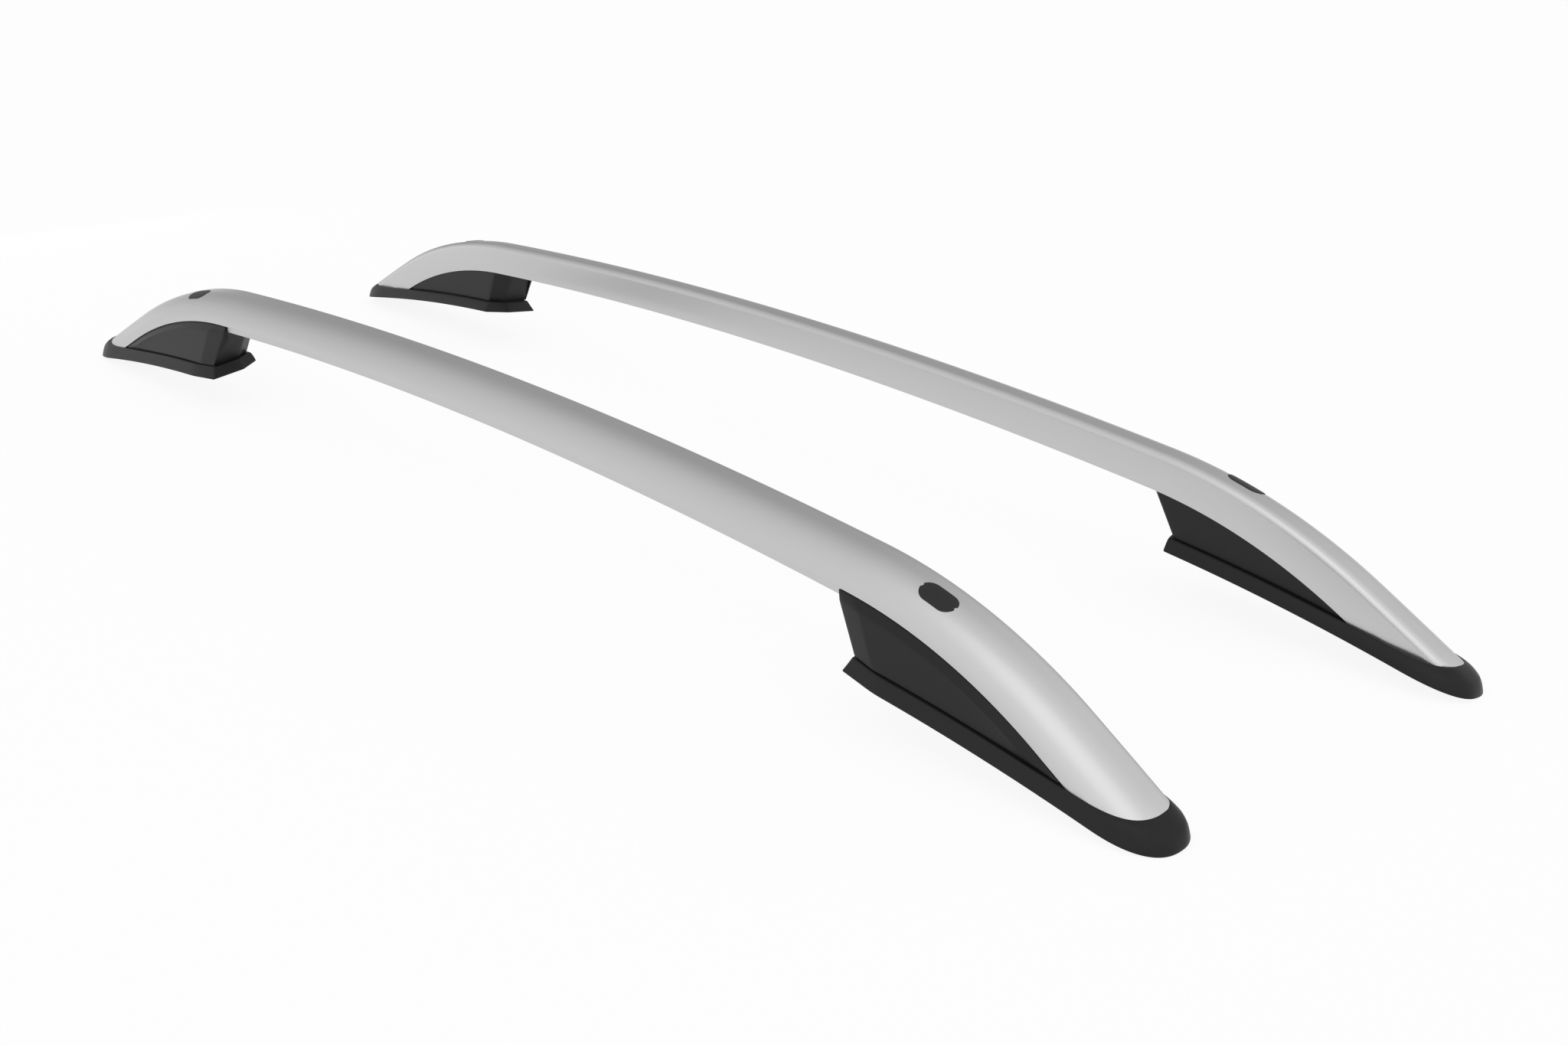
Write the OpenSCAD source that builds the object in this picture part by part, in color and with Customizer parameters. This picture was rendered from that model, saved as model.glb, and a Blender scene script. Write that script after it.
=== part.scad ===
// Pair of roof side rails: two bent aluminium extrusions on four black feet.
// X runs along the rails, Y across the roof and Z up. The front left quarter
// is described, and the other feet are its mirror images.

/* [Overall] */
// Length of one rail with its feet, from nose tip to nose tip
rail_length = 2000; // [1700:10:2400]
// Distance between the centre planes of the two pairs of feet
rail_spacing = 448; // [300:1:1400]

/* [Rail bends] */
// Distance from the nose tip to the start of the end bend
bend_start = 391; // [385:1:400]
// Height of the rail's underside there, above the nose tip
bend_height = 116; // [112:0.5:122]
// Slope of the rail there, which the long middle bend starts from, in degrees
bend_slope = 4.2; // [3.5:0.1:5]
// Radius of the end bend along the rail's underside
end_bend_r = 622; // [600:1:640]
// Slope at which the nearly straight tip of the rail begins, in degrees
end_slope = 28.2; // [27:0.1:29.5]
// Radius of that tip
tip_bend_r = 8000; // [6000:100:12000]
// Length of the tip before the base's top face trims it
tip_run = 210; // [200:1:230]
// Lean of the plane of the bends towards the roof's middle, in degrees
rail_lean = 3.9; // [0:0.1:6]
// Roll of the section towards the outside, in degrees
section_roll = 3.6; // [0:0.1:6]
// Shift of the rail towards the outside at the start of the end bend
rail_shift = -1.9; // [-3:0.1:0]

/* [Rail section] */
// Width of the extrusion
rail_w = 58; // [54:0.5:60]
// Height of the extrusion
rail_h = 42; // [38:0.5:46]
// Radius of the outer shoulder
shoulder_r = 38; // [33:0.5:38]
// Radius of the inner top corner
corner_r = 8.5; // [5:0.5:12]
// Height of the set-back strip under the shoulder
strip_h = 8.6; // [6:0.2:10]
// Depth by which that strip is set back
strip_inset = 3.2; // [2:0.1:4]
// Wall of the extrusion
rail_wall = 2.8; // [2:0.1:3.5]

/* [Roof under the feet] */
// Fall of the roof towards the outside, in degrees
roof_roll = 7.4; // [5:0.1:9]
// Rise of the roof behind the nose tip, in degrees
roof_pitch = 11.4; // [10.5:0.1:12]
// Radius of the roof's arch along the rail
roof_r = 2860; // [2500:10:3200]

/* [Foot base] */
// Length of the base
base_length = 380.5; // [378:0.5:384]
// Half width on the outer side, at the nose
base_out = 41.5; // [40:0.5:44]
// Gain in that half width from the nose to the heel
base_out_gain = 3.5; // [0:0.5:5]
// Half width on the inner side
base_in = 36; // [34:0.5:40]
// Length of the rounded nose
nose_length = 70; // [60:1:80]
// Squareness of the nose, 2 for an ellipse
nose_square = 2.4; // [2:0.1:3]
// Height of the base at the sides and heel
base_h = 15; // [13:0.5:16]
// Height of the base at the nose rim
rim_h = 21; // [19:0.5:23]
// Length of the chamfer at the outer heel corner
heel_out_x = 48; // [40:1:52]
// Depth of that chamfer
heel_out_y = 6.6; // [4:0.2:9]
// Length of the chamfer at the inner heel corner
heel_in_x = 18; // [14:1:22]
// Depth of that chamfer
heel_in_y = 28.4; // [24:0.2:30]
// Depth to which the rail's end sinks into the base
seat_depth = 1.2; // [0.8:0.1:2]
// Inset of the gasket from the base's edge
gasket_inset = 5; // [4:0.5:8]
// Thickness of the gasket
gasket_t = 2; // [1.5:0.1:3]

/* [Pedestal] */
// Shadow gap between the pedestal's walls and the base
shadow_gap = 1.5; // [1:0.1:2]
// Step of the pedestal's locating lip
lip_inset = 1.6; // [1.2:0.1:2]
// Depth to which the lip sinks into the base
lip_depth = 0.8; // [0.5:0.1:1]
// Wall of the pedestal
pedestal_wall = 3.5; // [3:0.1:4.5]
// Inset of the pedestal from the base's top edge
pedestal_inset = 2.2; // [1.5:0.1:3]
// Height of the bevel along the rail on the outer side
bevel_h = 10.5; // [8:0.5:13]
// Depth of that bevel
bevel_d = 5.5; // [4:0.5:7]
// Overhang of the heel at its top
heel_lean = 31; // [24:1:34]
// Setback of the pedestal's heel from the base's heel
heel_setback = 10; // [9:0.5:12]
// Length of the heel's outer chamfer, at its foot
heel_out_run = 29; // [24:1:34]
// Gain in that length at the rail
heel_out_reach = 10; // [6:1:12]
// Length of the heel's inner chamfer, at its foot
heel_in_run = 12; // [9:1:16]
// Gain in that length at the rail
heel_in_reach = 6; // [4:1:8]
// Width by which the base's heel chamfers show beside the pedestal
chamfer_ease = 1.6; // [1:0.2:2.4]
// Setback of the pedestal's inner side from the base's edge
inner_setback = 10.1; // [8:0.1:12]

/* [Cap] */
// Distance from the nose tip to the cap, along the roof
cap_place = 299; // [290:1:305]
// Shift of the cap from the section's middle towards the outside
cap_shift = 1; // [0:0.5:3]
// Length of the cap
cap_l = 41; // [38:0.5:44]
// Width of the cap
cap_w = 22; // [20:0.5:24]
// Height by which the cap stands proud
cap_t = 1.3; // [1:0.1:2]
// Length of the access hole under the cap
hole_l = 35; // [32:0.5:36]
// Width of the access hole, which passes a socket
hole_w = 16.5; // [15:0.5:17]
// Wall of the cap's plug
plug_wall = 1.5; // [1.2:0.1:2]
// Depth of the cap's plug below the rail's surface
plug_depth = 8; // [6:0.5:10]
// Width of the pry notches at the cap's tips
notch_w = 3; // [2:0.5:4]
// Depth of those notches
notch_d = 1.6; // [1:0.1:2]

/* [Fixings] */
// Radius of the roof bolt's bore, for an M8 bolt
bolt_r = 4.5; // [4.2:0.1:4.6]
// Outer radius of the spacer sleeve round the roof bolt
sleeve_r = 8; // [7:0.5:9]
// Wall of the pedestal's boss round the sleeve
boss_wall = 3.5; // [3:0.5:4]
// Distance by which the sleeve ends short of the rail
sleeve_short = 4; // [3:0.5:6]
// Radius of the seat for the roof bolt's head, in the rail's insert
head_seat_r = 9.5; // [9:0.5:10]
// Length of the insert inside the rail
insert_l = 130; // [120:1:140]
// Height of the insert above the rail's floor
insert_h = 12; // [10:0.5:14]
// Radius of the foot screws, M6
screw_r = 3; // [2.5:0.5:3]
// Radius of the foot screws' heads
screw_head_r = 5.5; // [5:0.5:6]
// Height of the foot screws' heads
screw_head_h = 4; // [3:0.5:5]
// Distance of the front screw from the roof bolt
screw_front = 52; // [48:1:56]
// Distance of the rear screw from the roof bolt
screw_rear = 42; // [38:1:44]
// Depth to which the screws enter the insert
screw_grip = 10; // [8:0.5:10]

/* [Hidden] */

alloy_colour = [0.74, 0.75, 0.75];
black_colour = [0.14, 0.14, 0.145];
rubber_colour = [0.06, 0.06, 0.06];
steel_colour = [0.62, 0.63, 0.65];
cast_colour = [0.55, 0.56, 0.57];

// Play between pieces that sit in each other
fit_gap = 0.25;
// Play between faces that lie on each other
face_gap = 0.1;

// Path of the rail's underside, in the plane of its bends. Its height is
// counted from the start of the end bend.
half_span = rail_length / 2 - bend_start;
mid_bend_r = half_span / sin(bend_slope);
end_centre_x = half_span - end_bend_r * sin(bend_slope);
end_centre_z = -end_bend_r * cos(bend_slope);
tip_x = end_centre_x + end_bend_r * sin(end_slope);
tip_centre_x = tip_x - tip_bend_r * sin(end_slope);
tip_centre_z = end_centre_z + (end_bend_r - tip_bend_r) * cos(end_slope);
tip_sweep = round(18000 / PI * tip_run / tip_bend_r) / 100;
plane_roll = section_roll + rail_lean;
shoulder_x = rail_w / 2 - shoulder_r;
shoulder_z = rail_h - shoulder_r;

function path_angle(x) =
    x < half_span ? asin(x / mid_bend_r)
    : x < tip_x ? asin((x - end_centre_x) / end_bend_r)
    : asin((x - tip_centre_x) / tip_bend_r);
function path_z(x) =
    x < half_span ? sqrt(mid_bend_r * mid_bend_r - x * x) - mid_bend_r * cos(bend_slope)
    : x < tip_x ? end_centre_z + sqrt(end_bend_r * end_bend_r - pow(x - end_centre_x, 2))
    : tip_centre_z + sqrt(tip_bend_r * tip_bend_r - pow(x - tip_centre_x, 2));

// Ground line: the nose's lowest point stands at zero
function nose_share(t) = pow(1 - pow(cos(t), nose_square), 1 / nose_square);
function roof_z(u, v) = u * tan(roof_pitch) - v * tan(roof_roll) - u * u / (2 * roof_r);
lift = -min([for (t = [3 : 1 : 60])
    roof_z(nose_length * (1 - cos(t)), base_out * nose_share(t))]);

// A point given by its distance from the nose tip, its place across the foot
// and its height above the roof
function foot_at(u, v, h) =
    [rail_length / 2 - u, rail_spacing / 2 + v, lift + roof_z(u, v) + h];

// A point of the rail's section, across and above the underside's middle
function rail_at(x, across, above) =
    let (
        n = across * cos(plane_roll) + above * sin(plane_roll),
        m = above * cos(plane_roll) - across * sin(plane_roll),
        z = path_z(x) + m * cos(path_angle(x))
    )
    [x + m * sin(path_angle(x)),
        rail_spacing / 2 + rail_shift + n * cos(rail_lean) - z * sin(rail_lean),
        lift + bend_height + n * sin(rail_lean) + z * cos(rail_lean)];

// Height of a point above the rail's underside, near the end bend
function above_rail(p) =
    let (
        y = p.y - rail_spacing / 2 - rail_shift,
        z = p.z - lift - bend_height,
        n = y * cos(rail_lean) + z * sin(rail_lean),
        e = z * cos(rail_lean) - y * sin(rail_lean),
        m = norm([p.x - end_centre_x, e - end_centre_z]) - end_bend_r
    )
    n * sin(plane_roll) + m * cos(plane_roll);

// The roof bolt stands square to the roof and passes through the cap's middle
bolt_slope = tan(roof_pitch) - cap_place / roof_r;
bolt_tilt = atan(bolt_slope);
bolt_norm = sqrt(1 + pow(bolt_slope, 2) + pow(tan(roof_roll), 2));
bolt_axis = [bolt_slope, tan(roof_roll), 1] / bolt_norm;
bolt_lean = asin(bolt_axis.y);
cap_rise = shoulder_z + sqrt(pow(shoulder_r, 2) - pow(cap_shift - shoulder_x, 2));
cap_point = rail_at(rail_length / 2 - cap_place, cap_shift, cap_rise);
cap_roof = lift + roof_z(rail_length / 2 - cap_point.x, cap_point.y - rail_spacing / 2);
bolt_foot = cap_point - bolt_axis * (cap_point.z - cap_roof) / bolt_norm;

// Distance along an axis beside the bolt at which it reaches a height in the
// rail's section
function bolt_side(d) = [d * cos(bolt_tilt), 0, -d * sin(bolt_tilt)];
function rise_at(d, above) =
    let (
        p = bolt_foot + bolt_side(d),
        low = above_rail(p + bolt_axis * 40),
        high = above_rail(p + bolt_axis * 60)
    )
    40 + 20 * (above - low) / (high - low);
sleeve_l = rise_at(0, 0) - sleeve_short;
bore_run = rise_at(0, 0) + rail_h;
floor_top = rail_wall + face_gap;
head_seat = rise_at(0, floor_top + insert_h) - 1.5;

// Rings of points along the foot, each going up its outer side and down its
// inner side, joined to a closed body
module loft(rings) {
    half = len(rings[0]) / 2;
    count = 2 * half;
    last = len(rings) - 1;
    sides = [for (i = [0 : last - 1]) for (j = [0 : count - 1])
        let (
            a = i * count + j,
            b = i * count + (j + 1) % count
        )
        each [[a, b, b + count], [a, b + count, a + count]]];
    ends = [for (k = [0 : half - 2])
        let (
            a = k,
            b = count - 1 - k,
            top = last * count
        )
        each [[a, b, b - 1], [a, b - 1, a + 1],
            [top + b, top + a, top + a + 1], [top + b, top + a + 1, top + b - 1]]];
    polyhedron(points = [for (r = rings) each r], faces = concat(sides, ends));
}

function ring(outer, inner) =
    concat(outer, [for (k = [len(inner) - 1 : -1 : 0]) inner[k]]);

// Outline of the base, station by station: distance from the nose tip and
// half widths. The insets are for the sides, the nose and the heel.
nose_steps = 11;
side_steps = 9;
function out_at(u) = base_out + base_out_gain * u / base_length;
function nose_point(i, side, nose) =
    let (
        t = 3 + 87 * i / nose_steps,
        u = nose + (nose_length - nose) * (1 - cos(t))
    )
    [u, (out_at(u) - side) * nose_share(t), -(base_in - side) * nose_share(t)];
function base_outline(side, nose, heel) =
    let (
        out_start = base_length - heel_out_x,
        in_start = base_length - heel_in_x,
        end = base_length - heel,
        out_full = out_at(base_length) - side,
        out_mid = out_full - heel_out_y * (in_start - out_start) / (end - out_start)
    )
    concat(
        [for (i = [0 : nose_steps]) nose_point(i, side, nose)],
        [for (i = [1 : side_steps])
            let (u = nose_length + (out_start - nose_length) * i / side_steps)
            [u, out_at(u) - side, side - base_in]],
        [[in_start, out_mid, side - base_in],
            [end, out_full - heel_out_y, side / 2 + heel_in_y - base_in]]
    );

// Share of the nose's height at a distance from the nose tip
rim_end = 105;
rim_start = 25;
function rim_share(u) =
    let (t = (rim_end - u) / (rim_end - rim_start))
    t >= 1 ? 1 : t <= 0 ? 0 : t * t * (3 - 2 * t);
function base_top(u) = base_h + (rim_h - base_h) * rim_share(u);

// Levels of the base's skirt: height at the sides, height at the nose, and
// insets for the sides, the nose and the heel
skirt = [
    [0, 0, 0.6, 0.6, 0.6],
    [1, 1, 0, 0, 0],
    [0.45 * base_h, 0.38 * rim_h, 2.6, 1.6, 3.4],
    [0.83 * base_h, 0.62 * rim_h, 4.8, 4.5, 6.4],
    [0.96 * base_h, 0.79 * rim_h, 5.6, 10, 7.4],
    [base_h, rim_h, 6.6, 21, 8.4],
];
top_inset = skirt[5][2];
heel_inset = skirt[5][4];

module base_body() {
    outlines = [for (s = skirt) base_outline(s[2], s[3], s[4])];
    function level(k, u) = skirt[k][0] + (skirt[k][1] - skirt[k][0]) * rim_share(u);
    loft([for (i = [0 : len(outlines[0]) - 1]) ring(
        [for (k = [0 : len(skirt) - 1]) let (q = outlines[k][i]) foot_at(q[0], q[1], level(k, q[0]))],
        [for (k = [0 : len(skirt) - 1]) let (q = outlines[k][i]) foot_at(q[0], q[2], level(k, q[0]))]
    )]);
}

// A plate that follows the roof, between two heights, with the base's outline
module roof_plate(inset, low, high) {
    loft([for (q = base_outline(inset, inset, inset)) ring(
        [foot_at(q[0], q[1], low), foot_at(q[0], q[1], high)],
        [foot_at(q[0], q[2], low), foot_at(q[0], q[2], high)]
    )]);
}

// All that lies under the base's top face, sunk by a depth. It reaches from
// past the end of the rail's tip to the heel.
trim_step = 10;
trim_from = -trim_step * ceil((tip_x + tip_run + rail_h - rail_length / 2) / trim_step);
trim_to = trim_step * floor(base_length / trim_step);
module under_base_top(depth) {
    reach = base_out + rail_w / 2;
    low = -tip_run / 2;
    loft([for (u = [trim_from : trim_step : trim_to]) ring(
        [foot_at(u, reach, low), foot_at(u, reach, base_top(u) - depth)],
        [foot_at(u, -reach, low), foot_at(u, -reach, base_top(u) - depth)]
    )]);
}

// Outline of the extrusion, grown or shrunk by an offset
module rail_outline(grow) {
    left = -rail_w / 2 - grow;
    low = -grow;
    top = rail_h + grow;
    step = strip_h - grow;
    r = corner_r + grow;
    translate([left, low]) square([rail_w - strip_inset + 2 * grow, step - low]);
    translate([left, low]) square([shoulder_x - left, top - r - low]);
    translate([left + r, low]) square([shoulder_x - left - r, top - low]);
    translate([left + r, top - r]) circle(r = r, $fn = 48);
    intersection() {
        translate([shoulder_x, shoulder_z]) circle(r = shoulder_r + grow, $fn = 144);
        translate([shoulder_x, step]) square([shoulder_r + grow + 1, top - step]);
    }
}

module rail_tube() {
    difference() {
        rail_outline(0);
        rail_outline(-rail_wall);
    }
}

// Places a shape drawn in the plane of the rail's bends
module in_rail_plane() {
    translate([0, rail_spacing / 2 + rail_shift, lift + bend_height])
        rotate([rail_lean, 0, 0]) children();
}

// Moves a shape along X and Z. A long way is split into whole millimetres,
// thousandths and the rest, so that the ends of two bends meet exactly.
function thousandths(d) = floor(1000 * (d - floor(d))) / 1000;
module shift(x, z) {
    translate([floor(x), 0, floor(z)])
        translate([thousandths(x), 0, thousandths(z)])
            translate([x - floor(x) - thousandths(x), 0, z - floor(z) - thousandths(z)]) children();
}

// Bends a section round a centre, from one slope to another
module bend(x, z, r, from, to, steps) {
    shift(x, z) rotate([90, 0, 0])
        rotate_extrude(angle = to - from, start = 90 - to, $fn = steps)
            shift(r, 0) rotate(-90 - plane_roll) children();
}

module mid_bend() {
    bend(0, -mid_bend_r * cos(bend_slope), mid_bend_r, -bend_slope, bend_slope, 720) children();
}

module end_bend(from = bend_slope, to = end_slope) {
    bend(end_centre_x, end_centre_z, end_bend_r, from, to, 360) children();
}

module tip_bend() {
    bend(tip_centre_x, tip_centre_z, tip_bend_r, end_slope, end_slope + tip_sweep, 720) children();
}

module end_run() {
    end_bend() children();
    tip_bend() children();
}

// Frames of the roof bolt and of the cap
module at_bolt(d = 0) {
    translate(bolt_foot + bolt_side(d)) rotate([-bolt_lean, bolt_tilt, 0]) children();
}

module at_cap() {
    x = rail_length / 2 - cap_place;
    tip = asin((cap_shift - shoulder_x) / shoulder_r);
    translate(cap_point) rotate([rail_lean, 0, 0]) rotate([0, path_angle(x), 0])
        rotate([-plane_roll - tip, 0, 0]) children();
}

module stadium(l, w) {
    translate([(w - l) / 2, 0]) circle(d = w, $fn = 48);
    translate([(l - w) / 2, 0]) circle(d = w, $fn = 48);
    translate([(w - l) / 2, -w / 2]) square([l - w, w]);
}

module both_ends() {
    children();
    mirror([1, 0, 0]) children();
}

// Holes that one foot needs in the rail
module rail_holes() {
    floor_side = rise_at(0, 0);
    at_cap() translate([0, 0, -rail_h / 3]) linear_extrude(rail_h / 2) stadium(hole_l, hole_w);
    at_bolt() translate([0, 0, floor_side - 8]) cylinder(r = sleeve_r + 2 * fit_gap, h = 16, $fn = 64);
    for (d = [screw_front, -screw_rear])
        at_bolt(d) translate([0, 0, rise_at(d, 0) - 5])
            cylinder(r = screw_r + fit_gap, h = 10, $fn = 32);
}

module rail() {
    color(alloy_colour) difference() {
        in_rail_plane() {
            mid_bend() rail_tube();
            both_ends() end_run() rail_tube();
        }
        both_ends() {
            under_base_top(seat_depth);
            rail_holes();
        }
    }
}

module base() {
    color(black_colour) difference() {
        base_body();
        roof_plate(gasket_inset - fit_gap, -5, gasket_t);
        difference() {
            in_rail_plane() end_run() rail_outline(fit_gap);
            under_base_top(seat_depth + face_gap);
        }
        lip_pocket();
        at_bolt() translate([0, 0, -5]) cylinder(r = sleeve_r + fit_gap, h = 60, $fn = 64);
        for (d = [screw_front, -screw_rear]) at_bolt(d) {
            translate([0, 0, -5]) cylinder(r = screw_r + fit_gap, h = 60, $fn = 32);
            translate([0, 0, -5])
                cylinder(r = screw_head_r + fit_gap, h = 5 + gasket_t + screw_head_h + fit_gap, $fn = 48);
        }
    }
}

module gasket() {
    color(rubber_colour) difference() {
        roof_plate(gasket_inset, 0, gasket_t - face_gap);
        at_bolt() translate([0, 0, -5]) cylinder(r = sleeve_r + fit_gap, h = 12, $fn = 64);
    }
}

// Stations of the pedestal, from the place where the rail leaves the base to
// the heel. The last station closes the heel between its two chamfers.
pedestal_steps = 16;
hollow_from = 4;
bevel_share = 0.6;
bevel_run = 0.42;
rim_gap = 0.4;
heel_u = base_length - heel_setback;
heel_out_v = out_at(base_length) - top_inset - pedestal_inset - heel_out_y + chamfer_ease;
heel_in_v = heel_in_y - base_in + chamfer_ease;
out_end_u = heel_u - heel_out_run;
in_end_u = heel_u - heel_in_run;
in_end_v = inner_setback - base_in;
crown_sink = 2;

function mix(a, b, t) = a + (b - a) * t;
function crown_out(s) = rail_at(rail_length / 2 - s, rail_w / 2 - rim_gap, strip_h - rim_gap);
function crown_in(s) = rail_at(rail_length / 2 - s, rim_gap - rail_w / 2, crown_sink);
function room(p) =
    let (u = rail_length / 2 - p.x)
    p.z - foot_at(u, p.y - rail_spacing / 2, base_top(u)).z;
out_first = [for (s = [nose_length : 1 : base_length]) if (room(crown_out(s)) > shadow_gap + 1) s][0];
in_first = [for (s = [nose_length : 1 : base_length]) if (room(crown_in(s)) > shadow_gap + 3) s][0];
first_in_v = crown_in(in_first).y - rail_spacing / 2;

// Places on the ground plan, on the outer and on the inner side, inset by d
function plan_out(i, d) =
    let (
        t = i / (pedestal_steps - 1),
        u0 = rail_length / 2 - crown_out(out_first).x,
        u = mix(u0, out_end_u, t)
    )
    i == pedestal_steps ? [heel_u - d, heel_out_v - 0.9 * d]
    : [u + (i == 0 ? d : 0), out_at(u) - top_inset - pedestal_inset - d];
function plan_in(i, d) =
    let (t = i / (pedestal_steps - 1))
    i == pedestal_steps ? [heel_u - d, heel_in_v + 0.3 * d]
    : [mix(in_first, in_end_u, t) + (i == 0 ? d : i == pedestal_steps - 1 ? -0.56 * d : 0),
        mix(first_in_v, in_end_v, t) + d];

// Places along the rail for the same stations
function rail_out(i, d) =
    i == pedestal_steps ? heel_u + heel_lean - d
    : mix(out_first, out_end_u + heel_lean + heel_out_reach, i / (pedestal_steps - 1));
function rail_in(i, d) =
    i == pedestal_steps ? heel_u + heel_lean - 2 - d
    : mix(in_first, in_end_u + heel_lean - heel_in_reach, i / (pedestal_steps - 1));
function top_out(i) =
    i == pedestal_steps
    ? rail_at(rail_length / 2 - rail_out(i, 0), rail_w / 2 - strip_inset - rim_gap, crown_sink)
    : crown_out(rail_out(i, 0));
function top_in(i) =
    i == pedestal_steps
    ? rail_at(rail_length / 2 - rail_in(i, 0), heel_in_v - chamfer_ease, crown_sink)
    : crown_in(rail_in(i, 0));

// A plan place at a height above the base's top
function on_base(q, h) = foot_at(q[0], q[1], base_top(q[0]) + h);

module pedestal_body() {
    function knee(i) =
        let (
            foot = on_base(plan_out(i, 0), shadow_gap),
            crown = top_out(i),
            drop = min(bevel_h, bevel_share * (crown.z - foot.z)),
            part = drop / bevel_h * (i == pedestal_steps ? 0.6 : 1)
        )
        [mix(crown.x, foot.x, bevel_run * part), crown.y + bevel_d * part, crown.z - drop];
    loft([for (i = [0 : pedestal_steps]) ring(
        [on_base(plan_out(i, lip_inset), -lip_depth), on_base(plan_out(i, lip_inset), shadow_gap),
            on_base(plan_out(i, 0), shadow_gap), knee(i), top_out(i)],
        [on_base(plan_in(i, lip_inset), -lip_depth), on_base(plan_in(i, lip_inset), shadow_gap),
            on_base(plan_in(i, 0), shadow_gap),
            mix(on_base(plan_in(i, 0), shadow_gap), top_in(i), 0.5), top_in(i)]
    )]);
}

function hollow_in(i) = i == pedestal_steps ? heel_in_v : pedestal_wall + 1 - rail_w / 2;

module pedestal_hollow() {
    w = pedestal_wall;
    loft([for (i = [hollow_from : pedestal_steps]) ring(
        [on_base(plan_out(i, w), -5),
            rail_at(rail_length / 2 - rail_out(i, w), rail_w / 2 - strip_inset - 0.5, -w)],
        [on_base(plan_in(i, w), -5), rail_at(rail_length / 2 - rail_in(i, w), hollow_in(i), -w)]
    )]);
}

// The shallow pocket in the base that takes the pedestal's lip
module lip_pocket() {
    d = lip_inset - fit_gap;
    low = -lip_depth - face_gap;
    loft([for (i = [0 : pedestal_steps]) ring(
        [on_base(plan_out(i, d), low), on_base(plan_out(i, d), 1)],
        [on_base(plan_in(i, d), low), on_base(plan_in(i, d), 1)]
    )]);
}

module pedestal() {
    boss_low = base_h - lip_depth;
    color(black_colour) difference() {
        union() {
            difference() {
                pedestal_body();
                pedestal_hollow();
            }
            at_bolt() translate([0, 0, boss_low])
                cylinder(r = sleeve_r + fit_gap + boss_wall, h = rise_at(0, 0) - boss_low + 4, $fn = 64);
            for (d = [screw_front, -screw_rear]) at_bolt(d) translate([0, 0, boss_low])
                cylinder(r = screw_r + fit_gap + boss_wall, h = rise_at(d, 0) - boss_low + 2, $fn = 48);
        }
        in_rail_plane() {
            mid_bend() rail_outline(face_gap);
            end_run() rail_outline(face_gap);
        }
        at_bolt() cylinder(r = sleeve_r + fit_gap, h = bore_run, $fn = 64);
        for (d = [screw_front, -screw_rear])
            at_bolt(d) cylinder(r = screw_r + fit_gap, h = bore_run, $fn = 32);
    }
}

// The block inside the rail that spreads the load of the roof bolt. Its
// spigot passes through the rail's floor and stands on the spacer sleeve.
insert_x = rail_length / 2 - cap_place + (screw_front - screw_rear) / 2;
insert_from = path_angle(insert_x - insert_l / 2);
insert_to = path_angle(insert_x + insert_l / 2);

module insert_outline() {
    intersection() {
        rail_outline(-rail_wall - face_gap);
        translate([-rail_w / 2, rail_wall]) square([rail_w, face_gap + insert_h]);
    }
}

module insert() {
    color(cast_colour) difference() {
        union() {
            in_rail_plane() end_bend(insert_from, insert_to) insert_outline();
            at_bolt() translate([0, 0, sleeve_l + face_gap])
                cylinder(r = sleeve_r, h = sleeve_short + rail_wall + 4, $fn = 64);
        }
        at_bolt() cylinder(r = bolt_r, h = bore_run, $fn = 48);
        at_bolt() translate([0, 0, head_seat]) cylinder(r = head_seat_r, h = rail_h, $fn = 64);
        for (d = [screw_front, -screw_rear]) at_bolt(d) translate([0, 0, rise_at(d, 0)])
            cylinder(r = screw_r + face_gap / 2, h = rail_wall + screw_grip + 1, $fn = 32);
    }
}

module sleeve() {
    color(steel_colour) at_bolt() difference() {
        cylinder(r = sleeve_r, h = sleeve_l, $fn = 64);
        translate([0, 0, -1]) cylinder(r = bolt_r, h = sleeve_l + 2, $fn = 48);
    }
}

module screws() {
    head_low = gasket_t + fit_gap;
    color(steel_colour) for (d = [screw_front, -screw_rear]) at_bolt(d) {
        translate([0, 0, head_low]) cylinder(r = screw_head_r, h = screw_head_h, $fn = 48);
        translate([0, 0, head_low])
            cylinder(r = screw_r, h = rise_at(d, rail_wall) + screw_grip - head_low, $fn = 32);
    }
}

module cap() {
    x = rail_length / 2 - cap_place;
    from = path_angle(x - cap_l);
    to = path_angle(x + cap_l);
    color(black_colour) {
        difference() {
            intersection() {
                in_rail_plane() end_bend(from, to) rail_outline(cap_t);
                at_cap() translate([0, 0, -6]) linear_extrude(12) difference() {
                    stadium(cap_l, cap_w);
                    for (k = [-1, 1])
                        translate([k * (cap_l / 2 - notch_d / 2 + 1) - notch_d / 2 - 1, -notch_w / 2])
                            square([notch_d + 2, notch_w]);
                }
            }
            in_rail_plane() end_bend(from, to) rail_outline(face_gap / 2);
        }
        at_cap() translate([0, 0, -plug_depth]) linear_extrude(plug_depth + cap_t / 3) difference() {
            stadium(hole_l - 2 * fit_gap, hole_w - 2 * fit_gap);
            stadium(hole_l - 2 * fit_gap - 2 * plug_wall, hole_w - 2 * fit_gap - 2 * plug_wall);
        }
    }
}

module rail_left() {
    rail();
}

module rail_right() {
    mirror([0, 1, 0]) rail();
}

module front_left_base() {
    base();
}

module front_left_gasket() {
    gasket();
}

module front_left_pedestal() {
    pedestal();
}

module front_left_insert() {
    insert();
}

module front_left_sleeve() {
    sleeve();
}

module front_left_screws() {
    screws();
}

module front_left_cap() {
    cap();
}

module front_right_base() {
    mirror([0, 1, 0]) base();
}

module front_right_gasket() {
    mirror([0, 1, 0]) gasket();
}

module front_right_pedestal() {
    mirror([0, 1, 0]) pedestal();
}

module front_right_insert() {
    mirror([0, 1, 0]) insert();
}

module front_right_sleeve() {
    mirror([0, 1, 0]) sleeve();
}

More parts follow.
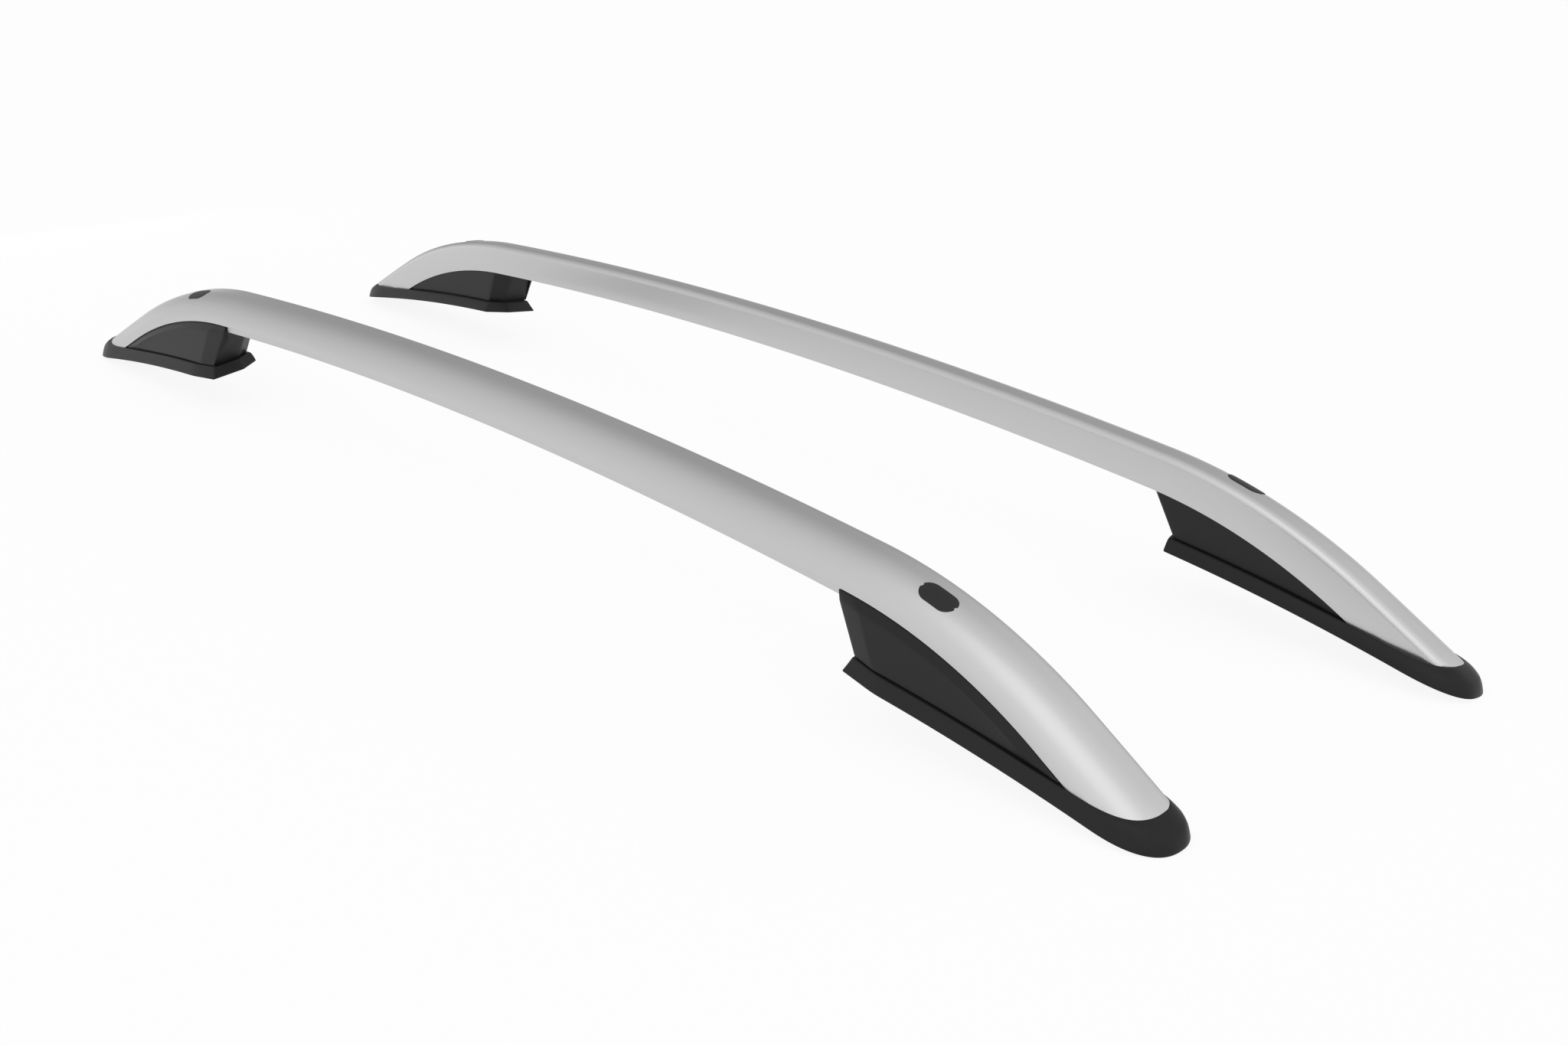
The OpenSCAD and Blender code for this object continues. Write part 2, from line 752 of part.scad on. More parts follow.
module front_right_screws() {
    mirror([0, 1, 0]) screws();
}

module front_right_cap() {
    mirror([0, 1, 0]) cap();
}

module rear_left_base() {
    mirror([1, 0, 0]) base();
}

module rear_left_gasket() {
    mirror([1, 0, 0]) gasket();
}

module rear_left_pedestal() {
    mirror([1, 0, 0]) pedestal();
}

module rear_left_insert() {
    mirror([1, 0, 0]) insert();
}

module rear_left_sleeve() {
    mirror([1, 0, 0]) sleeve();
}

module rear_left_screws() {
    mirror([1, 0, 0]) screws();
}

module rear_left_cap() {
    mirror([1, 0, 0]) cap();
}

module rear_right_base() {
    mirror([1, 0, 0]) mirror([0, 1, 0]) base();
}

module rear_right_gasket() {
    mirror([1, 0, 0]) mirror([0, 1, 0]) gasket();
}

module rear_right_pedestal() {
    mirror([1, 0, 0]) mirror([0, 1, 0]) pedestal();
}

module rear_right_insert() {
    mirror([1, 0, 0]) mirror([0, 1, 0]) insert();
}

module rear_right_sleeve() {
    mirror([1, 0, 0]) mirror([0, 1, 0]) sleeve();
}

module rear_right_screws() {
    mirror([1, 0, 0]) mirror([0, 1, 0]) screws();
}

module rear_right_cap() {
    mirror([1, 0, 0]) mirror([0, 1, 0]) cap();
}

rail_left();
rail_right();
front_left_base();
front_left_gasket();
front_left_pedestal();
front_left_insert();
front_left_sleeve();
front_left_screws();
front_left_cap();
front_right_base();
front_right_gasket();
front_right_pedestal();
front_right_insert();
front_right_sleeve();
front_right_screws();
front_right_cap();
rear_left_base();
rear_left_gasket();
rear_left_pedestal();
rear_left_insert();
rear_left_sleeve();
rear_left_screws();
rear_left_cap();
rear_right_base();
rear_right_gasket();
rear_right_pedestal();
rear_right_insert();
rear_right_sleeve();
rear_right_screws();
rear_right_cap();
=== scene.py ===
"""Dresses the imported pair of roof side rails: smooth rails, foot bases, pillars and screw
covers with their finishes, and a plain pale stage."""

import math

import bmesh
import bpy
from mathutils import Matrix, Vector


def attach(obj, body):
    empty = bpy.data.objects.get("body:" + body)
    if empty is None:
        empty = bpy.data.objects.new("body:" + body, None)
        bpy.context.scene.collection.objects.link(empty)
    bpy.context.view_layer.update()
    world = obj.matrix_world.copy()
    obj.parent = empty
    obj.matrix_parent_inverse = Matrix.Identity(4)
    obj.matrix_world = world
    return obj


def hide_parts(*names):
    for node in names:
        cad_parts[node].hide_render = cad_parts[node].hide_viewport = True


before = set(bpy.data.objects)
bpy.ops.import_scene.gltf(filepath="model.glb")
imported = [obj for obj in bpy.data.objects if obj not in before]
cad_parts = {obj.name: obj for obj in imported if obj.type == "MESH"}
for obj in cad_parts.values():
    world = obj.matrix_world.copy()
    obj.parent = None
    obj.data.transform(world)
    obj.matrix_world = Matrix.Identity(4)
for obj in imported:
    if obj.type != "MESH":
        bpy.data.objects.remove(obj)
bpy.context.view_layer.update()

bl_info = {
    "name": "Roof Side Rails",
    "version": (1, 0, 0),
    "blender": (4, 5, 0),
    "location": "View3D > Sidebar > Roof Rails",
    "description": "Builds the skins and finishes of a pair of roof side rails",
    "category": "Object",
}

ENDS = ("front", "rear")
FEET = [(end, side) for end in ENDS for side in ("left", "right")]
MM = 0.001
QUARTER = math.radians(90)
WHITE = (1, 1, 1, 1)
# Height of the lowest point over the ground, and the reach within which points are merged
CLEARANCE = 0.00003
WELD = 0.00001


def length(name, description, mm):
    return bpy.props.FloatProperty(
        name=name, description=description, default=mm * MM, unit="LENGTH", subtype="DISTANCE", precision=4
    )


def pair(name, description, first, second):
    return bpy.props.FloatVectorProperty(
        name=name, description=description, size=2, default=(first * MM, second * MM), unit="LENGTH"
    )


def angle(name, description, degrees):
    return bpy.props.FloatProperty(
        name=name, description=description, default=math.radians(degrees), unit="ROTATION", subtype="ANGLE"
    )


def tint(name, description, colour):
    return bpy.props.FloatVectorProperty(
        name=name, description=description, default=colour, size=3, min=0, max=1, subtype="COLOR"
    )


class RailSizes(bpy.types.PropertyGroup):
    overall: length("Length", "Length of a rail with its feet, nose to nose", 2000)
    spacing: length("Spacing", "Distance between the centre planes of the left and the right feet", 448)
    bend_start: length("Bend start", "Distance from the nose tip to the start of the end bend", 391)
    bend_height: length("Bend height", "Height of the rail's underside at the start of the end bend", 116)
    bend_slope: angle("Bend slope", "Slope of the rail at the start of the end bend", 4.2)
    end_radius: length("End bend radius", "Radius of the end bend", 622)
    end_slope: angle("Tip slope", "Slope at which the nearly straight tip begins", 28.2)
    tip_radius: length("Tip radius", "Radius of the nearly straight tip", 8000)
    lean: angle("Lean", "Lean of the plane of the bends towards the roof's middle", 3.9)
    roll: angle("Roll", "Roll of the section towards the outside", 3.6)
    shift: length("Shift", "Shift of the rail to the outside at the start of the end bend", -1.9)
    width: length("Width", "Width of the extrusion", 58)
    height: length("Height", "Height of the extrusion", 41.75)
    shoulder: length("Shoulder radius", "Radius of the outer shoulder", 38)
    corner: length("Corner radius", "Radius of the inner top corner", 8.5)
    strip: length("Strip height", "Height of the set-back strip", 8.6)
    strip_depth: length("Strip depth", "Depth by which the strip is set back", 3.2)
    edge: length("Edge rounding", "Rounding of the extrusion's sharp edges", 0.5)


class FootSizes(bpy.types.PropertyGroup):
    roof_roll: angle("Roof roll", "Fall of the roof towards the outside", 7.4)
    roof_pitch: angle("Roof pitch", "Rise of the roof behind the nose tip", 11.4)
    roof_radius: length("Roof radius", "Radius of the roof's arch along the rail", 2860)
    base: length("Base length", "Length of the base", 380.5)
    outer: length("Outer half width", "Half width on the outer side at the nose", 41.5)
    outer_gain: length("Outer gain", "Gain in that half width up to the heel", 3.5)
    inner: length("Inner half width", "Half width on the inner side", 36)
    nose: length("Nose length", "Length of the rounded nose", 70)
    squareness: bpy.props.FloatProperty(
        name="Nose squareness", description="2 draws an ellipse", default=2.4, min=2, max=3
    )
    base_height: length("Base height", "Height of the base at the sides and heel", 15)
    rim_height: length("Rim height", "Height of the base at the nose rim", 23.2)
    crest: length("Rim place", "Distance from the nose tip at which the rim is full", 21)
    fade: length("Rim fade", "Length over which the rim's extra height falls to a third", 22)
    heel_out: pair("Outer heel chamfer", "Length and depth", 48, 6.6)
    heel_in: pair("Inner heel chamfer", "Length and depth", 18, 28.4)
    gasket_inset: length("Gasket inset", "Inset of the gasket's recess", 4.8)
    gasket: length("Gasket", "Depth of the gasket's recess", 2)
    gap: length("Shadow gap", "Gap between the pillar's walls and the base", 1.5)
    lip: length("Lip step", "Step of the pillar's locating lip", 1.6)
    pillar_inset: length("Pillar inset", "Inset of the pillar from the base's top edge", 2.2)
    bevel_height: length("Bevel height", "Height of the bevel along the rail", 10.5)
    bevel_depth: length("Bevel depth", "Depth of that bevel", 5.5)
    heel_lean: length("Heel overhang", "Overhang of the heel at its top", 31)
    reach_front: length("Front reach", "Reach of the front pillars' cover of the strip past the heel", -3)
    reach_rear: length("Rear reach", "Reach of the rear pillars' cover of the strip past the heel", 3)
    seam: length("Seam", "Gap between the rail's edge and the plastic", 1.5)


class CoverSizes(bpy.types.PropertyGroup):
    place: length("Place", "Distance from the nose tip, along the roof", 299)
    shift: length("Shift", "Shift from the section's middle to the outside", 1)
    long: length("Length", "Length of the cover", 42)
    wide: length("Width", "Width of the cover", 21.4)
    proud: length("Height", "Height by which it stands proud of the rail", 0.7)
    straight: bpy.props.FloatProperty(
        name="Straight share", description="1 draws round ends, less an oval", default=0.85
    )
    notch: pair("Pry notch", "Width and depth", 3, 1.6)


class Finishes(bpy.types.PropertyGroup):
    alloy: tint("Rail alloy", "Satin anodised rail", (0.56, 0.565, 0.56))
    plastic: tint("Foot plastic", "Moulded black plastic", (0.0088, 0.0088, 0.0089))
    cover: tint("Cover plastic", "Plastic of the screw covers", (0.011, 0.011, 0.0112))
    rubber: tint("Gasket rubber", "Rubber of the gaskets", (0.012, 0.012, 0.012))
    cast: tint("Insert alloy", "Alloy of the blocks inside the rails", (0.46, 0.47, 0.48))
    zinc: tint("Zinc", "Plating of the sleeves and screws", (0.6, 0.62, 0.65))
    ground: tint("Ground", "Pale studio floor", (0.86, 0.86, 0.86))


class StageSizes(bpy.types.PropertyGroup):
    eye: bpy.props.FloatVectorProperty(
        name="Camera place", description="Where the camera stands", size=3, default=(1.9861, -1.5421, 0.9142)
    )
    down: angle("Camera tilt", "Angle by which the camera looks down", 20.935)
    heading: angle("Camera heading", "Direction of view over the floor, from +X", 138.544)
    lens: bpy.props.FloatProperty(name="Lens", description="Focal length in millimetres", default=50)
    floor: length("Floor", "Side of the floor", 30000)


class RailLine:
    """Where the rail runs: a long middle bend, an end bend and a nearly straight tip."""

    def __init__(self, r, f):
        self.r = r
        self.f = f
        half = r.overall / 2
        self.span = half - r.bend_start
        self.mid_radius = self.span / math.sin(r.bend_slope)
        self.mid_z = -self.mid_radius * math.cos(r.bend_slope)
        self.end_x = self.span - r.end_radius * math.sin(r.bend_slope)
        self.end_z = -r.end_radius * math.cos(r.bend_slope)
        self.joint = self.end_x + r.end_radius * math.sin(r.end_slope)
        self.tip_x = self.joint - r.tip_radius * math.sin(r.end_slope)
        self.tip_z = self.end_z + (r.end_radius - r.tip_radius) * math.cos(r.end_slope)
        nose_angles = [math.radians(degrees) for degrees in range(3, 61)]
        self.lift = CLEARANCE - min(
            self.roof(f.nose * (1 - math.cos(t)), f.outer * self.nose_share(t)) for t in nose_angles
        )

    def nose_share(self, t):
        """Share of the full width at an angle round the nose, from its tip."""
        q = self.f.squareness
        return (1 - abs(math.cos(t)) ** q) ** (1 / q)

    def half_width(self, u):
        """Half width of a base on its outer side."""
        return self.f.outer + self.f.outer_gain * u / self.f.base

    def roof(self, u, v):
        """Height of the roof by the distance from the nose tip and the place across."""
        f = self.f
        return u * math.tan(f.roof_pitch) - v * math.tan(f.roof_roll) - u * u / (2 * f.roof_radius)

    def foot(self, u, v, h):
        """A point by its distance from the nose tip, its place across and its height above the roof."""
        return Vector((self.r.overall / 2 - u, self.r.spacing / 2 + v, self.lift + self.roof(u, v) + h))

    def bend(self, x):
        """Centre and radius of the bend at a place along the rail."""
        if x < self.span:
            return 0, self.mid_z, self.mid_radius
        if x < self.joint:
            return self.end_x, self.end_z, self.r.end_radius
        return self.tip_x, self.tip_z, self.r.tip_radius

    def in_plane(self, x, n, z):
        """A point of the leaning plane of the bends, in the row's frame."""
        r = self.r
        y = r.spacing / 2 + r.shift + n * math.cos(r.lean) - z * math.sin(r.lean)
        return Vector((x, y, self.lift + r.bend_height + n * math.sin(r.lean) + z * math.cos(r.lean)))

    def at(self, x, across, above):
        """A point by its place along the rail, across its section and above its underside."""
        cx, cz, radius = self.bend(x)
        slope = math.asin((x - cx) / radius)
        z = cz + math.sqrt(radius * radius - (x - cx) ** 2)
        turn = self.r.roll + self.r.lean
        n = across * math.cos(turn) + above * math.sin(turn)
        m = above * math.cos(turn) - across * math.sin(turn)
        return self.in_plane(x + m * math.sin(slope), n, z + m * math.cos(slope))

    def crown(self, across):
        """Height of the extrusion's top above its underside."""
        r = self.r
        middle = r.width / 2 - r.shoulder
        if across < middle:
            return r.height
        return r.height - r.shoulder + math.sqrt(r.shoulder**2 - (across - middle) ** 2)

    def swell(self, u):
        """Share of the nose's extra height, which dies away behind the nose."""
        return math.exp(min(0, self.f.crest - u) / self.f.fade)

    def rim(self, u):
        """Height of the base's top face above the roof, which rises towards the nose."""
        f = self.f
        return f.base_height + (f.rim_height - f.base_height) * self.swell(u)

    def on_base(self, u, v, h):
        """A point by its height above the base's top."""
        return self.foot(u, v, self.rim(u) + h)


def spaced(first, last, count):
    """The places between two ends that part the way into equal steps."""
    return [first + (last - first) * k / count for k in range(1, count)]


def deselect():
    bpy.ops.object.select_all(action="DESELECT")


def pick(obj):
    """Selects one object alone and makes it the active one."""
    deselect()
    obj.select_set(True)
    bpy.context.view_layer.objects.active = obj


class Skin:
    """A closed mesh drawn ring by ring in edit mode, from one circle."""

    def __init__(self, name, points):
        deselect()
        bpy.ops.mesh.primitive_circle_add(vertices=len(points), radius=0.01, fill_type="NOTHING")
        self.obj = bpy.context.active_object
        self.obj.name = name
        self.obj.data.name = name
        bpy.ops.object.mode_set(mode="EDIT")
        bpy.ops.mesh.select_mode(type="VERT")
        mesh = bmesh.from_edit_mesh(self.obj.data)
        layer = mesh.verts.layers.int.new("place")
        for k, v in enumerate(mesh.verts):
            v[layer] = k
        bpy.ops.mesh.select_all(action="SELECT")
        self.lay(points)

    def lay(self, points):
        """Puts the selected ring in its place."""
        mesh = bmesh.from_edit_mesh(self.obj.data)
        layer = mesh.verts.layers.int["place"]
        for v in mesh.verts:
            if v.select:
                v.co = points[v[layer]]
        bmesh.update_edit_mesh(self.obj.data)

    def ring(self, points):
        """Extrudes the last ring to the next one."""
        bpy.ops.mesh.extrude_region_move()
        self.lay(points)

    def select(self, chosen):
        """Selects the faces whose middle is chosen."""
        bpy.ops.mesh.select_mode(type="FACE")
        bpy.ops.mesh.select_all(action="DESELECT")
        mesh = bmesh.from_edit_mesh(self.obj.data)
        for face in mesh.faces:
            if chosen(face.calc_center_median()):
                face.select_set(True)
        bmesh.update_edit_mesh(self.obj.data)

    def close(self, smooth):
        """Merges the poles, turns the faces outwards and smooths edges under an angle in degrees."""
        bpy.ops.mesh.select_all(action="SELECT")
        bpy.ops.mesh.remove_doubles(threshold=WELD)
        bpy.ops.mesh.dissolve_degenerate(threshold=WELD)
        bpy.ops.mesh.select_all(action="SELECT")
        bpy.ops.mesh.normals_make_consistent(inside=False)
        bpy.ops.object.mode_set(mode="OBJECT")
        self.obj.data.attributes.remove(self.obj.data.attributes["place"])
        if smooth:
            bpy.ops.object.shade_smooth_by_angle(angle=math.radians(smooth))
        return self.obj


def modifier(obj, kind, **settings):
    """Adds a modifier with its settings and applies it."""
    pick(obj)
    bpy.ops.object.modifier_add(type=kind)
    m = obj.modifiers[-1]
    for key, value in settings.items():
        setattr(m, key, value)
    bpy.ops.object.modifier_apply(modifier=m.name)


def copy_to(obj, name, flip_x, flip_y):
    """A copy of a front left piece at another corner, mirrored where that asks for it."""
    pick(obj)
    bpy.ops.object.duplicate()
    twin = bpy.context.active_object
    twin.name = name
    twin.data.name = name
    bpy.ops.transform.resize(value=(-1 if flip_x else 1, -1 if flip_y else 1, 1), center_override=(0, 0, 0))
    bpy.ops.object.transform_apply(location=True, rotation=True, scale=True)
    bpy.ops.object.mode_set(mode="EDIT")
    bpy.ops.mesh.select_all(action="SELECT")
    bpy.ops.mesh.normals_make_consistent(inside=False)
    bpy.ops.object.mode_set(mode="OBJECT")
    return twin


def to_feet(pattern, ends, piece, node, material):
    """Copies a front left pattern to the feet at the ends named, and lets each copy stand for its node."""
    for end, side in FEET:
        if end in ends:
            twin = copy_to(pattern, f"{end}_{side}_{piece}", end == "rear", side == "right")
            settle(twin, f"{end}_{side}_{node}", material)
    pick(pattern)
    bpy.ops.object.delete()


def settle(obj, node, material):
    """Gives a piece its finish and lets it stand for its node."""
    obj.data.materials.clear()
    obj.data.materials.append(material)
    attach(obj, "root")
    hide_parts(node)


class Value:
    """A shader socket that takes part in plain arithmetic."""

    def __init__(self, paint, socket):
        self.paint = paint
        self.socket = socket

    def maths(self, operation, a, b):
        return self.paint.node("ShaderNodeMath", {"operation": operation}, {0: a, 1: b})

    def __add__(self, other):
        return self.maths("ADD", self, other)

    def __radd__(self, other):
        return self.maths("ADD", other, self)

    def __mul__(self, other):
        return self.maths("MULTIPLY", self, other)

    def __rmul__(self, other):
        return self.maths("MULTIPLY", other, self)


class Paint:
    """The nodes of a material or a world, each made from its type, settings and inputs."""

    def __init__(self, owner):
        self.owner = owner
        owner.use_nodes = True
        self.tree = owner.node_tree
        self.tree.nodes.clear()
        self.place = 0

    def node(self, kind, settings=None, inputs=None, out=0):
        n = self.tree.nodes.new(kind)
        self.place += 200
        n.location = (self.place % 2400, -300 * (self.place // 2400))
        for key, value in (settings or {}).items():
            if key == "stops":
                ramp = n.color_ramp
                for k, (position, colour) in enumerate(value):
                    stop = ramp.elements[k] if k < 2 else ramp.elements.new(position)
                    stop.position = position
                    stop.color = (*colour, 1)
            else:
                setattr(n, key, value)
        for key, value in (inputs or {}).items():
            if isinstance(value, Value):
                self.tree.links.new(value.socket, n.inputs[key])
            elif value is not None:
                n.inputs[key].default_value = value
        return Value(self, n.outputs[out]) if n.outputs else None

    def spot(self, scale=(1, 1, 1)):
        """Object coordinates, stretched by a scale."""
        where = self.node("ShaderNodeTexCoord", out="Object")
        return self.node("ShaderNodeMapping", {"vector_type": "POINT"}, {"Vector": where, "Scale": scale})

    def noise(self, where, scale, detail, roughness):
        inputs = {"Vector": where, "Scale": scale, "Detail": detail, "Roughness": roughness}
        return self.node("ShaderNodeTexNoise", None, inputs)

    def cells(self, where, scale):
        return self.node("ShaderNodeTexVoronoi", {"feature": "F1"}, {"Vector": where, "Scale": scale})

    def ray(self, kind):
        """Whether the ray that meets the surface is of a kind."""
        return self.node("ShaderNodeLightPath", out=f"Is {kind} Ray")

    def blend(self, share, a, b):
        """Mixes two colours by a share."""
        return self.node("ShaderNodeMix", {"data_type": "RGBA"}, {"Factor": share, 6: (*a, 1), 7: (*b, 1)}, 2)

    def mixed_shader(self, share, first, second):
        return self.node("ShaderNodeMixShader", None, {0: share, 1: first, 2: second})

    def relief(self, height, strength, distance):
        inputs = {"Height": height, "Strength": strength, "Distance": distance}
        return self.node("ShaderNodeBump", None, inputs)

    def surface(self, **sockets):
        """Ends a material in one shader, with each socket by its name."""
        inputs = {name.replace("_", " "): value for name, value in sockets.items()}
        shader = self.node("ShaderNodeBsdfPrincipled", None, inputs)
        self.node("ShaderNodeOutputMaterial", None, {"Surface": shader})
        return self.owner


def shade(colour, factor):
    """A lighter or darker form of a colour."""
    return tuple(min(1, c * factor) for c in colour)


def satin_alloy(colour):
    """Anodised extrusion: a fine satin with faint drawing lines along the rail."""
    p = Paint(bpy.data.materials.new("satin_anodised_alloy"))
    lines = p.noise(p.spot((3, 1600, 1600)), scale=1.0, detail=2.0, roughness=0.5)
    haze = p.noise(p.spot((2.2, 9, 9)), scale=1.0, detail=2.0, roughness=0.5)
    grit = p.noise(p.spot(), scale=1900.0, detail=2.0, roughness=0.6)
    tone = lines * 0.5 + haze * 0.5
    return p.surface(
        Base_Color=p.blend(tone, shade(colour, 0.93), shade(colour, 1.07)),
        Metallic=1.0,
        Roughness=0.31 + lines * 0.05 + haze * 0.06,
        Normal=p.relief(lines * 0.6 + grit * 0.4, strength=0.12, distance=0.00008),
    )


def moulded_plastic(colour):
    """Half matt black plastic with a fine spark-eroded grain."""
    p = Paint(bpy.data.materials.new("moulded_black_plastic"))
    grain = p.noise(p.spot(), scale=1400.0, detail=3.0, roughness=0.62)
    pits = p.cells(p.spot(), scale=900.0)
    flow = p.noise(p.spot((3, 14, 14)), scale=1.0, detail=3.0, roughness=0.5)
    return p.surface(
        Base_Color=p.blend(grain * 0.4 + flow * 0.6, shade(colour, 0.82), shade(colour, 1.2)),
        Roughness=0.33 + flow * 0.1 + grain * 0.06,
        IOR=1.305,
        Normal=p.relief(grain * 0.65 + pits * 0.35, strength=0.35, distance=0.00012),
    )


def cover_plastic(colour):
    """Dull black plastic of the screw covers."""
    p = Paint(bpy.data.materials.new("dull_cover_plastic"))
    grain = p.noise(p.spot(), scale=1700.0, detail=3.0, roughness=0.6)
    flow = p.noise(p.spot((60, 60, 60)), scale=1.0, detail=2.0, roughness=0.5)
    return p.surface(
        Base_Color=p.blend(flow, shade(colour, 0.8), shade(colour, 1.25)),
        Roughness=0.42 + grain * 0.12,
        IOR=1.36,
        Normal=p.relief(grain, strength=0.3, distance=0.0001),
    )


def gasket_rubber(colour):
    """Matt cellular rubber."""
    p = Paint(bpy.data.materials.new("cellular_gasket_rubber"))
    cells = p.cells(p.spot(), scale=1100.0)
    bloom = p.noise(p.spot(), scale=60.0, detail=4.0, roughness=0.6)
    return p.surface(
        Base_Color=p.blend(bloom, colour, shade(colour, 2.2)),
        Roughness=0.78 + bloom * 0.14,
        IOR=1.45,
        Normal=p.relief(cells, strength=0.5, distance=0.0002),
    )


def cast_alloy(colour):
    """Grainy skin of a die casting."""
    p = Paint(bpy.data.materials.new("die_cast_alloy"))
    skin = p.noise(p.spot(), scale=420.0, detail=5.0, roughness=0.65)
    return p.surface(
        Base_Color=p.blend(skin, shade(colour, 0.8), shade(colour, 1.1)),
        Metallic=0.95,
        Roughness=0.42 + skin * 0.2,
        Normal=p.relief(skin, strength=0.4, distance=0.0003),
    )


def zinc_plate(colour):
    """Turned steel under zinc, with rings round the axis blurred by the plating."""
    p = Paint(bpy.data.materials.new("zinc_plated_steel"))
    turned = p.noise(p.spot((150, 150, 2200)), scale=1.0, detail=2.0, roughness=0.5)
    cloud = p.noise(p.spot(), scale=90.0, detail=3.0, roughness=0.55)
    return p.surface(
        Base_Color=p.blend(cloud, shade(colour, 0.86), (0.66, 0.64, 0.56)),
        Metallic=0.97,
        Roughness=0.26 + cloud * 0.14 + turned * 0.06,
        Normal=p.relief(turned, strength=0.15, distance=0.0001),
    )


def studio_floor(colour):
    """Matt floor that the camera sees nearly white, with the shadows kept."""
    p = Paint(bpy.data.materials.new("studio_floor"))
    mottle = p.noise(p.spot(), scale=3.0, detail=2.0, roughness=0.5)
    tone = p.blend(mottle, shade(colour, 0.99), shade(colour, 1.01))
    matt = p.node("ShaderNodeBsdfDiffuse", None, {"Color": tone})
    glow = p.node("ShaderNodeEmission", None, {"Color": WHITE, "Strength": 1.0})
    glow_share = 0.9
    seen, glossy, through = [p.ray(kind) for kind in ("Camera", "Glossy", "Transmission")]
    share = (seen + glossy + through) * glow_share
    p.node("ShaderNodeOutputMaterial", None, {"Surface": p.mixed_shader(share, matt, glow)})
    return p.owner


def rail_outline(r):
    """The extrusion's section, across and above the middle of its underside."""
    left = -r.width / 2
    right = r.width / 2 - r.strip_depth
    wall_share, corner_steps, shoulder_steps = 0.35, 8, 24
    points = [(left, 0), (left, r.height * wall_share), (left, r.height - r.corner)]
    for k in range(1, corner_steps + 1):
        t = QUARTER * k / corner_steps
        points.append((left + r.corner * (1 - math.cos(t)), r.height - r.corner * (1 - math.sin(t))))
    middle = r.width / 2 - r.shoulder
    points += [(across, r.height) for across in spaced(left + r.corner, middle, 3)]
    low = math.asin((r.strip - r.height + r.shoulder) / r.shoulder)
    for k in range(shoulder_steps + 1):
        t = QUARTER + (low - QUARTER) * k / shoulder_steps
        points.append((middle + r.shoulder * math.cos(t), r.height - r.shoulder * (1 - math.sin(t))))
    points += [(right, r.strip), (right, r.strip / 2), (right, 0)]
    points += [(across, 0) for across in spaced(right, left, 6)]
    return points


class ROOFRAIL_OT_rails(bpy.types.Operator):
    """Spins the extrusion's section round the three bends and mirrors it to both ends"""

    bl_idname = "roofrail.rails"
    bl_label = "Rails"

    def execute(self, context):
        r = context.scene.rail_sizes
        line = RailLine(r, context.scene.foot_sizes)
        skin = Skin("left_rail", [line.at(0, a, b) for a, b in rail_outline(r)])
        self.sweep(line)
        self.cut_low(line, skin)
        self.cut_round(line, skin)
        rail = skin.close(smooth=0)
        modifier(rail, "MIRROR", use_axis=(True, False, False), merge_threshold=2 * WELD)
        modifier(rail, "BEVEL", width=r.edge, segments=3, limit_method="ANGLE", angle_limit=math.radians(40))
        bpy.ops.object.shade_smooth_by_angle(angle=math.radians(35))
        material = satin_alloy(context.scene.finishes.alloy)
        settle(copy_to(rail, "right_rail", False, True), "rail_right", material)
        settle(rail, "rail_left", material)
        return {"FINISHED"}

    def sweep(self, line):
        """Spins the section from the middle of the rail to its tip."""
        r = line.r
        tip_turn = math.radians(1.35)
        axis = (line.in_plane(0, 0, 0) - line.in_plane(0, 1, 0)).normalized()
        for x, z, turn, steps in (
            (0, line.mid_z, r.bend_slope, 20),
            (line.end_x, line.end_z, r.end_slope - r.bend_slope, 30),
            (line.tip_x, line.tip_z, tip_turn, 8),
        ):
            bpy.ops.mesh.spin(steps=steps, angle=turn, center=line.in_plane(x, 0, z), axis=axis)

    def cut(self, line, skin, place, outward):
        """Cuts away what lies on the outer side of a plane at the rail's tip."""
        tip_from = line.joint - 0.05
        skin.select(lambda middle: middle.x > tip_from)
        bpy.ops.mesh.bisect(plane_co=place, plane_no=outward, use_fill=True, clear_outer=True)

    def cut_low(self, line, skin):
        """Cuts away what the base hides, along a plane a little below its top."""
        near, far, across = 0.022, 0.095, 0.03
        near_height, far_height = 0.016, 0.0125
        front = line.foot(near, 0, near_height)
        back = line.foot(far, 0, far_height)
        side = line.foot(near, across, near_height)
        normal = (side - front).cross(back - front).normalized()
        if normal.z > 0:
            normal = -normal
        self.cut(line, skin, front, normal)

    def cut_round(self, line, skin):
        """Rounds the tip to the inner side of the nose by upright cuts."""
        for degrees in range(1, 62, 6):
            a, b = [self.brink(line, math.radians(degrees + d)) for d in (-1, 1)]
            self.cut(line, skin, a, Vector((0, 0, 1)).cross(b - a).normalized())

    def brink(self, line, t):
        """A place on the inner side of the nose, a little inside its rim."""
        f = line.f
        start, inset = 0.0228, 0.0102
        u = start + (f.nose - start) * (1 - math.cos(t))
        return line.foot(u, (inset - f.inner) * line.nose_share(t), 0)


def corner_arc(before, corner, after, radius, steps):
    """Points that round a corner of a ground plan."""
    a = corner + (before - corner).normalized() * radius
    b = corner + (after - corner).normalized() * radius
    arc = []
    for k in range(steps + 1):
        t = k / steps
        arc.append(a * (1 - t) ** 2 + corner * 2 * t * (1 - t) + b * t * t)
    return arc


